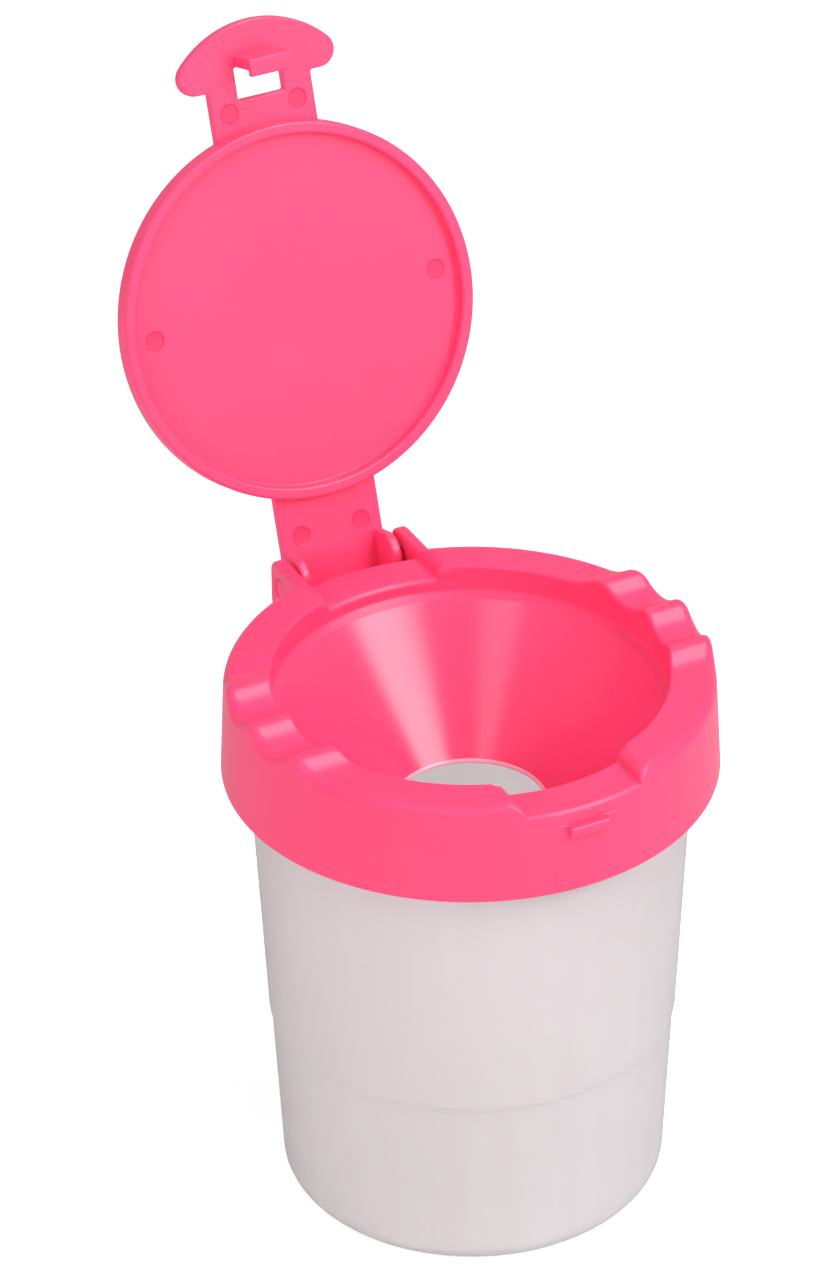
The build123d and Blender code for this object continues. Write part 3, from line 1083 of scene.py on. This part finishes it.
# Floor and backdrop
# A plain white table, which shows white to the camera beyond the cup's own soft shadow.
floor_half = 3.0
table_white = 0.82
table_mirrored = 0.5
table_lift = 0.5


def ray_kinds(tree):
    """Sockets that are 1 for a ray straight from the camera or through the cup, and for a mirrored ray."""
    path = add(tree, "ShaderNodeLightPath").outputs
    camera_ray, glossy_ray, through = (
        path[f"Is {kind} Ray"] for kind in ("Camera", "Glossy", "Transmission")
    )
    seen = add(tree, "ShaderNodeMath", {0: camera_ray, 1: through}, operation="MAXIMUM")
    mirrored = add(tree, "ShaderNodeMath", {0: glossy_ray, 1: through}, operation="SUBTRACT", use_clamp=True)
    return seen.outputs[0], mirrored.outputs[0]


corners = [(x * floor_half, y * floor_half, 0) for x, y in ((-1, -1), (1, -1), (1, 1), (-1, 1))]
floor_mesh = bpy.data.meshes.new("floor")
floor_mesh.from_pydata(corners, [], [(0, 1, 2, 3)])
floor = bpy.data.objects.new("floor", floor_mesh)
bpy.context.scene.collection.objects.link(floor)
white = bpy.data.materials.new("white_table")
white.use_nodes = True
tree = white.node_tree
tree.nodes.clear()
# Seen by the camera or through the cup, the table is lifted to white, and in a reflection it is toned down.
seen, mirrored = ray_kinds(tree)
tone = add(tree, "ShaderNodeMapRange", {"Value": mirrored, "To Min": table_white, "To Max": table_mirrored})
table = add(tree, "ShaderNodeBsdfDiffuse", {"Color": tone.outputs[0]})
lifted = add(tree, "ShaderNodeMath", {0: seen, 1: table_lift}, operation="MULTIPLY")
glow = add(tree, "ShaderNodeEmission", {"Strength": lifted.outputs[0]})
both = add(tree, "ShaderNodeAddShader", {0: table.outputs[0], 1: glow.outputs[0]})
add(tree, "ShaderNodeOutputMaterial", {"Surface": both.outputs[0]})
floor_mesh.materials.append(white)

# Light
# A white studio: even light all round, a wide softbox at the front right, whose reflection is the bright
# streak in the funnel, a low one under it, a small one at the front left, one overhead, and a fill at the
# left that lights the pieces but isn't mirrored in them.
even_light = 0.47
mirrored_drop = 0.06
world = bpy.data.worlds.new("studio")
world.use_nodes = True
bpy.context.scene.world = world
tree = world.node_tree
tree.nodes.clear()
seen, mirrored = ray_kinds(tree)
level = add(tree, "ShaderNodeMapRange", {"Value": seen, "To Min": even_light, "To Max": 1.0})
level = add(
    tree,
    "ShaderNodeMath",
    {0: mirrored, 1: -mirrored_drop, 2: level.outputs[0]},
    operation="MULTIPLY_ADD",
)
studio = add(tree, "ShaderNodeBackground", {"Color": (1, 1, 1, 1), "Strength": level.outputs[0]})
add(tree, "ShaderNodeOutputWorld", {"Surface": studio.outputs[0]})

aim = Vector((0, 0, 0.09))


def softbox(name, direction, distance, width, height, power, colour="#FFFFFF", mirrored=True):
    """Rectangular lamp that faces the cup, at a distance and of sizes in metres and a power in watts."""
    lamp = bpy.data.lights.new(name, "AREA")
    lamp.shape, lamp.size, lamp.size_y, lamp.energy = "RECTANGLE", width, height, power
    lamp.color = linear(colour)[:3]
    holder = bpy.data.objects.new(name, lamp)
    direction = Vector(direction).normalized()
    holder.location = aim + direction * distance
    holder.rotation_euler = direction.to_track_quat("Z", "Y").to_euler()
    holder.visible_glossy = mirrored
    bpy.context.scene.collection.objects.link(holder)


softbox("softbox_right", (0.396, -0.643, 0.656), 1.4, 0.82, 0.45, 10.2)
softbox("softbox_low", (0.41, -0.88, 0.25), 1.4, 0.8, 0.5, 1.5)
softbox("softbox_left", (-0.498, -0.406, 0.766), 1.4, 0.45, 0.3, 1.1)
softbox("softbox_top", (0.38, -0.15, 0.91), 1.5, 0.8, 0.4, 6.2)
softbox("softbox_fill", (-0.86, -0.3, 0.35), 1.4, 1.0, 0.8, 7.2, "#FFF6F3", mirrored=False)

# Camera
# A long lens from a metre away, 33 degrees above the cup's level and to its front left. Its place is in
# metres and its turns in radians.
camera_place = (-0.37615, -0.72578, 0.62702)
camera_heading = -0.467876
camera_down = 0.567725
camera_roll = -0.012774
lens = bpy.data.cameras.new("camera")
lens.lens = 163.92
lens.sensor_width = 36
lens.clip_start, lens.clip_end = 0.05, 20
camera = bpy.data.objects.new("camera", lens)
camera.matrix_world = (
    Matrix.Translation(camera_place)
    @ Matrix.Rotation(camera_heading, 4, "Z")
    @ Matrix.Rotation(math.pi / 2 - camera_down, 4, "X")
    @ Matrix.Rotation(camera_roll, 4, "Z")
)
bpy.context.scene.collection.objects.link(camera)
bpy.context.scene.camera = camera
bpy.context.scene.view_settings.view_transform = "Standard"
